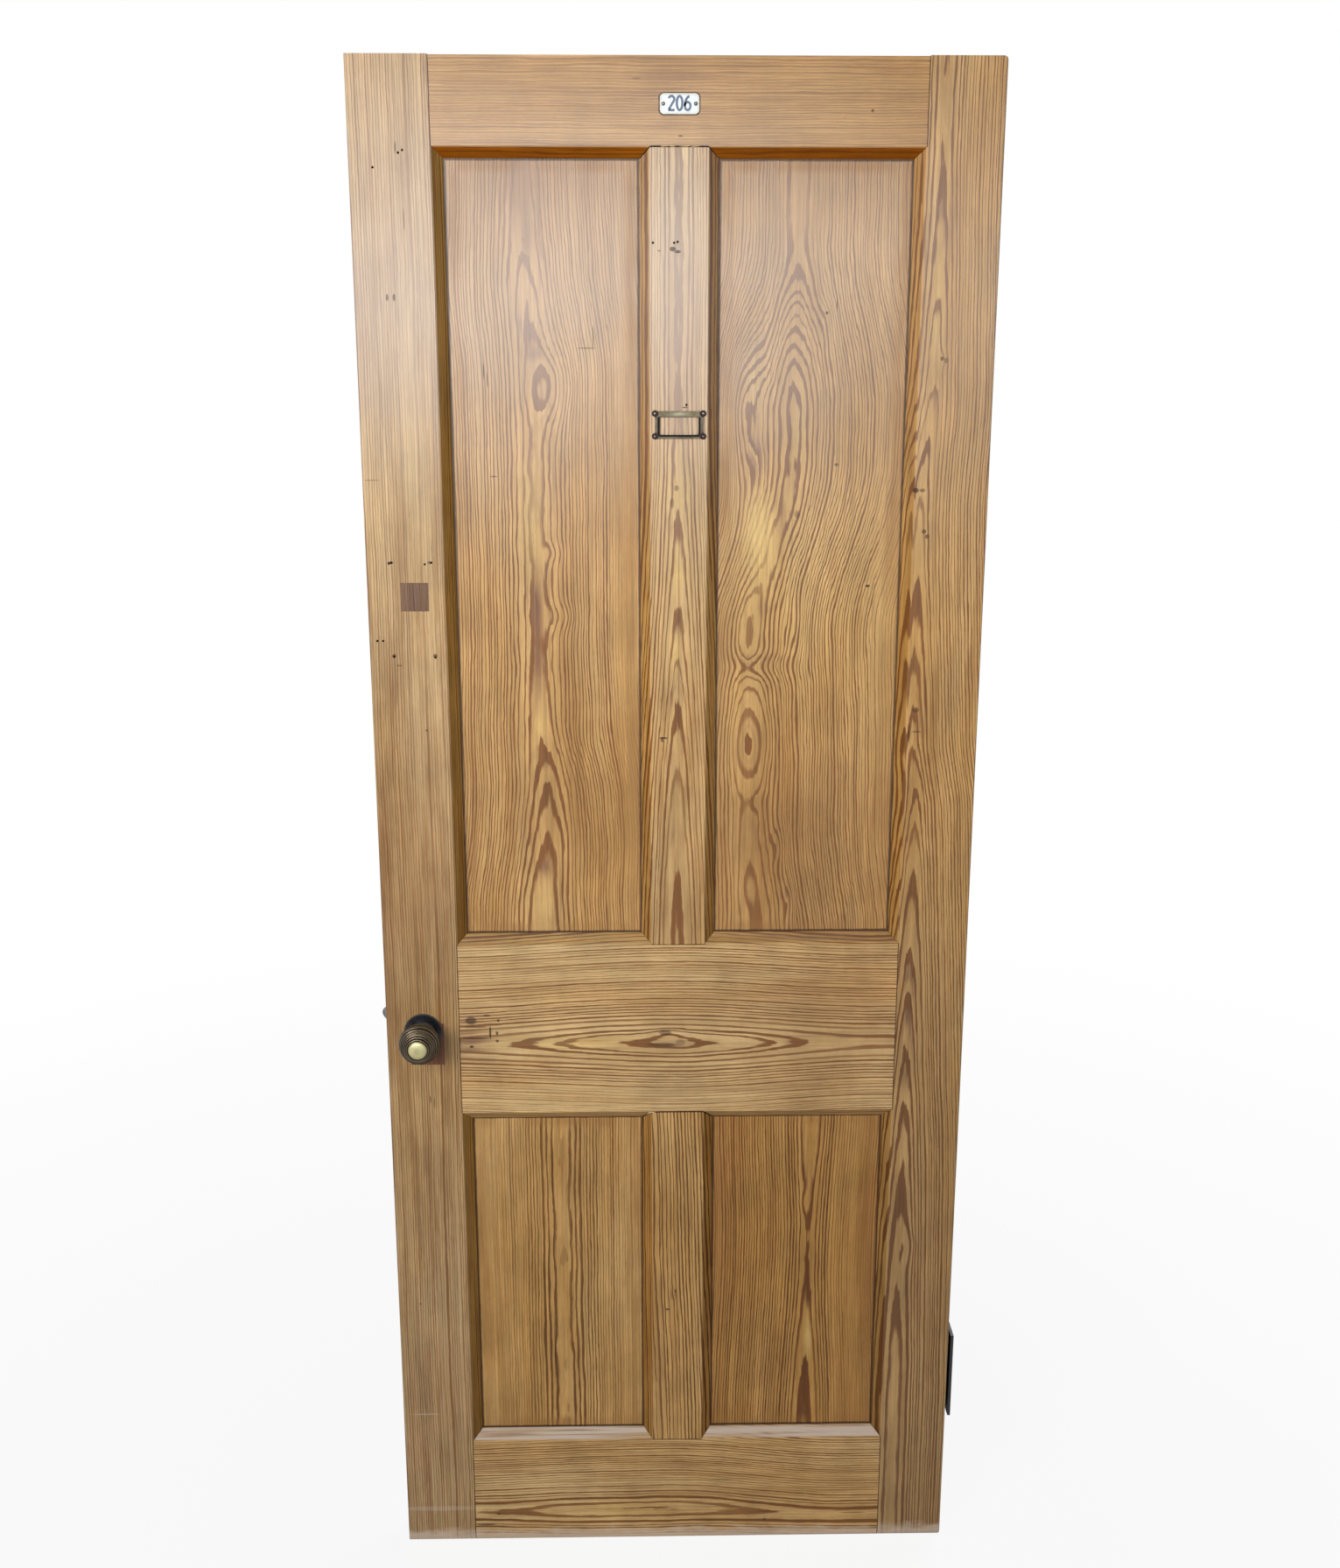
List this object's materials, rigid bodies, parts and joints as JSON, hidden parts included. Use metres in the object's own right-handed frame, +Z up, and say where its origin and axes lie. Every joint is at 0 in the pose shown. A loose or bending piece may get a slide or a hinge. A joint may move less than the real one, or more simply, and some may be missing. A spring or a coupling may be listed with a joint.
{
  "type": "solid internal door",
  "caption": "Old four-panel pitch pine door with chamfered framing, ribbed knobs, a mortice latch, a number plate, a card frame and cast-iron butt hinges.",
  "frame": {"origin": "middle of the door's bottom edge, in the middle of its thickness", "axes": "+X to the viewer's right towards the hinges, +Y from the front face to the back face, +Z up"},
  "size_m": [0.7795, 0.176, 1.981],
  "materials": {
    "stile_wood": "waxed pitch pine, grain up the door",
    "rail_wood": "waxed pitch pine, grain across the door",
    "panel_wood": "waxed pitch pine, wide cathedral grain",
    "wedge_wood": "waxed pine",
    "patch_wood": "waxed darker wood",
    "white_enamel": "glossy white enamel",
    "old_brass": "dark patina",
    "knob_brass": "dark patina with a nose worn bright",
    "black_iron": "black, slightly worn",
    "lock_steel": "dull old steel"
  },
  "bodies": {
    "frame_leaf": {"lower_hinge_frame_leaf": "black_iron", "lower_hinge_pin": "black_iron"},
    "door": {"lock_stile": "stile_wood", "hinge_stile": "stile_wood", "top_rail": "rail_wood", "lock_rail": "rail_wood", "bottom_rail": "rail_wood", "upper_muntin": "stile_wood", "lower_muntin": "stile_wood", "upper_left_panel": "panel_wood", "upper_right_panel": "panel_wood", "lower_left_panel": "panel_wood", "lower_right_panel": "panel_wood", "tenon_wedges": "wedge_wood", "square_patch": "patch_wood", "knob_patch": "patch_wood", "number_plate": "white_enamel", "number_plate_screws": "lock_steel", "card_frame": "old_brass", "card_frame_pins": "old_brass", "front_rose": "black_iron", "back_rose": "black_iron", "rose_screws": "black_iron", "latch_case": "lock_steel", "latch_forend": "lock_steel", "forend_screws": "lock_steel", "latch_spring": "lock_steel", "lower_hinge_door_leaf": "black_iron", "lower_hinge_screws": "black_iron", "upper_hinge_door_leaf": "black_iron", "upper_hinge_screws": "black_iron"},
    "knob": {"front_knob": "knob_brass", "back_knob": "knob_brass", "spindle": "lock_steel", "knob_grub_screws": "lock_steel", "latch_follower": "lock_steel"},
    "latch": {"latch_bolt": "lock_steel"},
    "upper_leaf": {"upper_hinge_frame_leaf": "black_iron", "upper_hinge_pin": "black_iron"}
  },
  "joints": [
    {"name": "door_swing", "type": "hinge", "parent": "frame_leaf", "child": "door", "pos_m": [0.3835, 0.029, 0.252], "axis": [0, 0, -1], "range_deg": [0, 180]},
    {"name": "upper_leaf_swing", "type": "hinge", "parent": "door", "child": "upper_leaf", "pos_m": [0.3835, 0.029, 1.7525], "axis": [0, 0, -1], "range_deg": [0, 180]},
    {"name": "knob_turn", "type": "hinge", "parent": "door", "child": "knob", "pos_m": [-0.333, 0, 0.782], "axis": [0, 1, 0], "range_deg": [0, 45]},
    {"name": "latch_slide", "type": "slide", "parent": "door", "child": "latch", "axis": [1, 0, 0], "range_m": [0, 0.011], "stiffness_N_per_m": 300, "springref_m": -0.01, "deforming": ["latch_spring"]}
  ],
  "couplings": [
    {"joint": "latch_slide", "follows": "knob_turn", "m_per_rad": 0.014006}
  ]
}
